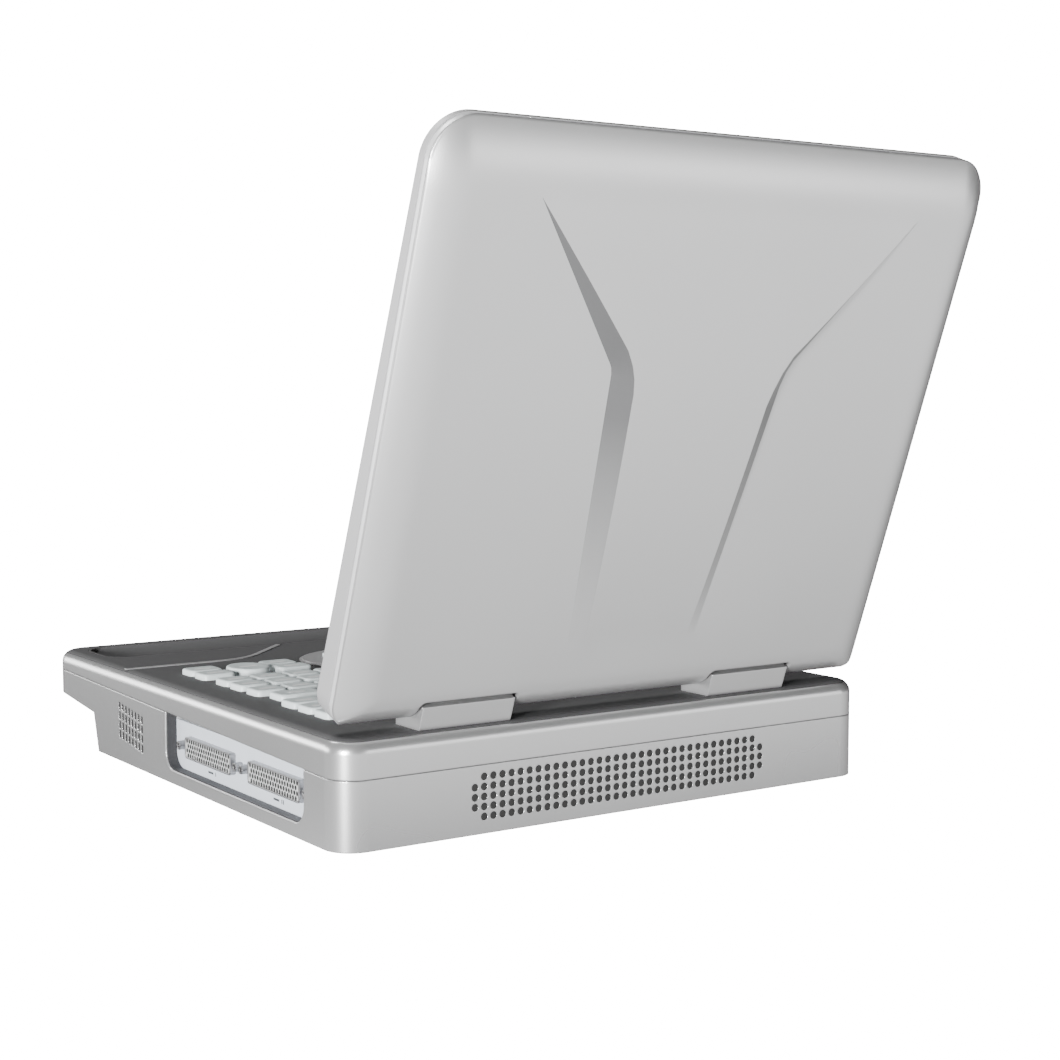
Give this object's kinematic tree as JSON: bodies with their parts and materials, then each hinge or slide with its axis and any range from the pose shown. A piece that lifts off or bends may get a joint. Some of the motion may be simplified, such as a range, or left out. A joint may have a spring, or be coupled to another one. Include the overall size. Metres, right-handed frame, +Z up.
{
  "type": "veterinary ultrasound scanner",
  "caption": "Laptop-style ultrasound scanner with a folding display, keyed deck, trackball, front grip and probe sockets in a side recess.",
  "frame": {"origin": "on the table under the case, midway across its width, 170 mm in front of its rear face", "axes": "+X to the user's right (the probe socket side), -Y towards the user, +Z up; the display is open at 112 degrees"},
  "size_m": [0.309, 0.4339, 0.3143],
  "materials": {
    "case_silver": "fine satin silver paint on moulded plastic",
    "deck_dark": "fine matt dark grey",
    "grip_dark": "soft touch dark grey",
    "inlay_silver": "satin silver",
    "panel_pale": "pale blue-grey, semi-matt",
    "socket_steel": "plated",
    "insert_pale": "pale grey moulded contact block",
    "foot_rubber": "matt",
    "screw_steel": "zinc",
    "rim_silver": "bright satin silver",
    "bezel_grey": "matt mid grey",
    "lcd_grey": "matt module frame",
    "screen_glass": "dark anti-glare cover",
    "key_pale": "semi-matt",
    "pad_grey": "satin mid grey",
    "ball_dark": "polished",
    "knob_dark": "matt",
    "board_green": "solder mask",
    "shield_steel": "folded sheet",
    "battery_black": "wrapped cells",
    "fan_black": "moulded",
    "filter_black": "open foam"
  },
  "bodies": {
    "base": {"bottom_case": "case_silver", "top_case": "case_silver", "deck_plate": "deck_dark", "grip_trough": "grip_dark", "deck_inlay": "inlay_silver", "port_panel": "panel_pale", "probe_socket_1": "socket_steel", "probe_socket_2": "socket_steel", "probe_insert_1": "insert_pale", "probe_insert_2": "insert_pale", "jack_posts": "socket_steel", "rubber_feet": "foot_rubber", "case_screws": "screw_steel", "hinge_block_right": "case_silver", "hinge_block_left": "case_silver", "ball_surround": "pad_grey", "key_board": "board_green", "letter_keypad": "key_pale", "main_board": "board_green", "front_end_box": "shield_steel", "battery_pack": "battery_black", "fan_housing": "fan_black", "dust_filter": "filter_black", "power_inlet": "fan_black"},
    "display": {"lid_back": "case_silver", "lid_rim": "rim_silver", "lid_bezel": "bezel_grey", "lcd_panel": "lcd_grey", "screen_glass": "screen_glass", "lid_bumpers": "foot_rubber", "lid_screws": "screw_steel", "hinge_arm_right": "screw_steel", "hinge_arm_left": "screw_steel"},
    "ball": {"trackball": "ball_dark"},
    "knob": {"gain_knob": "knob_dark"},
    "left_select": {"select_left": "key_pale"},
    "right_select": {"select_right": "key_pale"},
    "power_key": {"power_button": "key_pale"},
    "fan_wheel": {"fan_rotor": "fan_black"},
    "key_freeze_cap": {"key_freeze": "key_pale"},
    "key_a1_cap": {"key_a1": "key_pale"},
    "key_a3_cap": {"key_a3": "key_pale"},
    "key_b1_cap": {"key_b1": "key_pale"},
    "key_b3_cap": {"key_b3": "key_pale"},
    "key_c1_cap": {"key_c1": "key_pale"},
    "key_c2_cap": {"key_c2": "key_pale"},
    "key_c3_cap": {"key_c3": "key_pale"},
    "key_d1_cap": {"key_d1": "key_pale"},
    "key_d2_cap": {"key_d2": "key_pale"},
    "key_d3_cap": {"key_d3": "key_pale"},
    "key_e1_cap": {"key_e1": "key_pale"},
    "key_e2_cap": {"key_e2": "key_pale"},
    "key_e3_cap": {"key_e3": "key_pale"},
    "key_f1_cap": {"key_f1": "key_pale"},
    "key_g1_cap": {"key_g1": "key_pale"},
    "key_h1_cap": {"key_h1": "key_pale"},
    "key_i1_cap": {"key_i1": "key_pale"},
    "key_left_1_cap": {"key_left_1": "key_pale"},
    "key_left_2_cap": {"key_left_2": "key_pale"}
  },
  "joints": [
    {"name": "display_hinge", "type": "hinge", "parent": "base", "child": "display", "pos_m": [0, 0.1525, 0.0626], "axis": [1, 0, 0], "range_deg": [-8, 111.7]},
    {"name": "trackball_roll", "type": "hinge", "parent": "base", "child": "ball", "pos_m": [0, -0.0395, 0.0394], "axis": [1, 0, 0], "continuous": true},
    {"name": "gain_turn", "type": "hinge", "parent": "base", "child": "knob", "pos_m": [-0.092, -0.033, 0.052], "axis": [0, 0, -1], "range_deg": [-140, 140]},
    {"name": "fan_spin", "type": "hinge", "parent": "base", "child": "fan_wheel", "pos_m": [-0.095, 0.143, 0.021], "axis": [0, -1, 0], "continuous": true},
    {"name": "key_freeze_press", "type": "slide", "parent": "base", "child": "key_freeze_cap", "axis": [0, 0, -1], "range_m": [0, 0.002], "stiffness_N_per_m": 350, "springref_m": -0.0004},
    {"name": "key_a1_press", "type": "slide", "parent": "base", "child": "key_a1_cap", "axis": [0, 0, -1], "range_m": [0, 0.002], "stiffness_N_per_m": 350, "springref_m": -0.0004},
    {"name": "key_a3_press", "type": "slide", "parent": "base", "child": "key_a3_cap", "axis": [0, 0, -1], "range_m": [0, 0.002], "stiffness_N_per_m": 350, "springref_m": -0.0004},
    {"name": "key_b1_press", "type": "slide", "parent": "base", "child": "key_b1_cap", "axis": [0, 0, -1], "range_m": [0, 0.002], "stiffness_N_per_m": 350, "springref_m": -0.0004},
    {"name": "key_b3_press", "type": "slide", "parent": "base", "child": "key_b3_cap", "axis": [0, 0, -1], "range_m": [0, 0.002], "stiffness_N_per_m": 350, "springref_m": -0.0004},
    {"name": "key_c1_press", "type": "slide", "parent": "base", "child": "key_c1_cap", "axis": [0, 0, -1], "range_m": [0, 0.002], "stiffness_N_per_m": 350, "springref_m": -0.0004},
    {"name": "key_c2_press", "type": "slide", "parent": "base", "child": "key_c2_cap", "axis": [0, 0, -1], "range_m": [0, 0.002], "stiffness_N_per_m": 350, "springref_m": -0.0004},
    {"name": "key_c3_press", "type": "slide", "parent": "base", "child": "key_c3_cap", "axis": [0, 0, -1], "range_m": [0, 0.002], "stiffness_N_per_m": 350, "springref_m": -0.0004},
    {"name": "key_d1_press", "type": "slide", "parent": "base", "child": "key_d1_cap", "axis": [0, 0, -1], "range_m": [0, 0.002], "stiffness_N_per_m": 350, "springref_m": -0.0004},
    {"name": "key_d2_press", "type": "slide", "parent": "base", "child": "key_d2_cap", "axis": [0, 0, -1], "range_m": [0, 0.002], "stiffness_N_per_m": 350, "springref_m": -0.0004},
    {"name": "key_d3_press", "type": "slide", "parent": "base", "child": "key_d3_cap", "axis": [0, 0, -1], "range_m": [0, 0.002], "stiffness_N_per_m": 350, "springref_m": -0.0004},
    {"name": "key_e1_press", "type": "slide", "parent": "base", "child": "key_e1_cap", "axis": [0, 0, -1], "range_m": [0, 0.002], "stiffness_N_per_m": 350, "springref_m": -0.0004},
    {"name": "key_e2_press", "type": "slide", "parent": "base", "child": "key_e2_cap", "axis": [0, 0, -1], "range_m": [0, 0.002], "stiffness_N_per_m": 350, "springref_m": -0.0004},
    {"name": "key_e3_press", "type": "slide", "parent": "base", "child": "key_e3_cap", "axis": [0, 0, -1], "range_m": [0, 0.002], "stiffness_N_per_m": 350, "springref_m": -0.0004},
    {"name": "key_f1_press", "type": "slide", "parent": "base", "child": "key_f1_cap", "axis": [0, 0, -1], "range_m": [0, 0.002], "stiffness_N_per_m": 350, "springref_m": -0.0004},
    {"name": "key_g1_press", "type": "slide", "parent": "base", "child": "key_g1_cap", "axis": [0, 0, -1], "range_m": [0, 0.002], "stiffness_N_per_m": 350, "springref_m": -0.0004},
    {"name": "key_h1_press", "type": "slide", "parent": "base", "child": "key_h1_cap", "axis": [0, 0, -1], "range_m": [0, 0.002], "stiffness_N_per_m": 350, "springref_m": -0.0004},
    {"name": "key_i1_press", "type": "slide", "parent": "base", "child": "key_i1_cap", "axis": [0, 0, -1], "range_m": [0, 0.002], "stiffness_N_per_m": 350, "springref_m": -0.0004},
    {"name": "key_left_1_press", "type": "slide", "parent": "base", "child": "key_left_1_cap", "axis": [0, 0, -1], "range_m": [0, 0.002], "stiffness_N_per_m": 350, "springref_m": -0.0004},
    {"name": "key_left_2_press", "type": "slide", "parent": "base", "child": "key_left_2_cap", "axis": [0, 0, -1], "range_m": [0, 0.002], "stiffness_N_per_m": 350, "springref_m": -0.0004},
    {"name": "left_select_press", "type": "slide", "parent": "base", "child": "left_select", "axis": [0, 0, -1], "range_m": [0, 0.0015], "stiffness_N_per_m": 350, "springref_m": -0.0004},
    {"name": "right_select_press", "type": "slide", "parent": "base", "child": "right_select", "axis": [0, 0, -1], "range_m": [0, 0.0015], "stiffness_N_per_m": 350, "springref_m": -0.0004},
    {"name": "power_press", "type": "slide", "parent": "base", "child": "power_key", "axis": [0, 0, -1], "range_m": [0, 0.0015], "stiffness_N_per_m": 450, "springref_m": -0.0004}
  ]
}
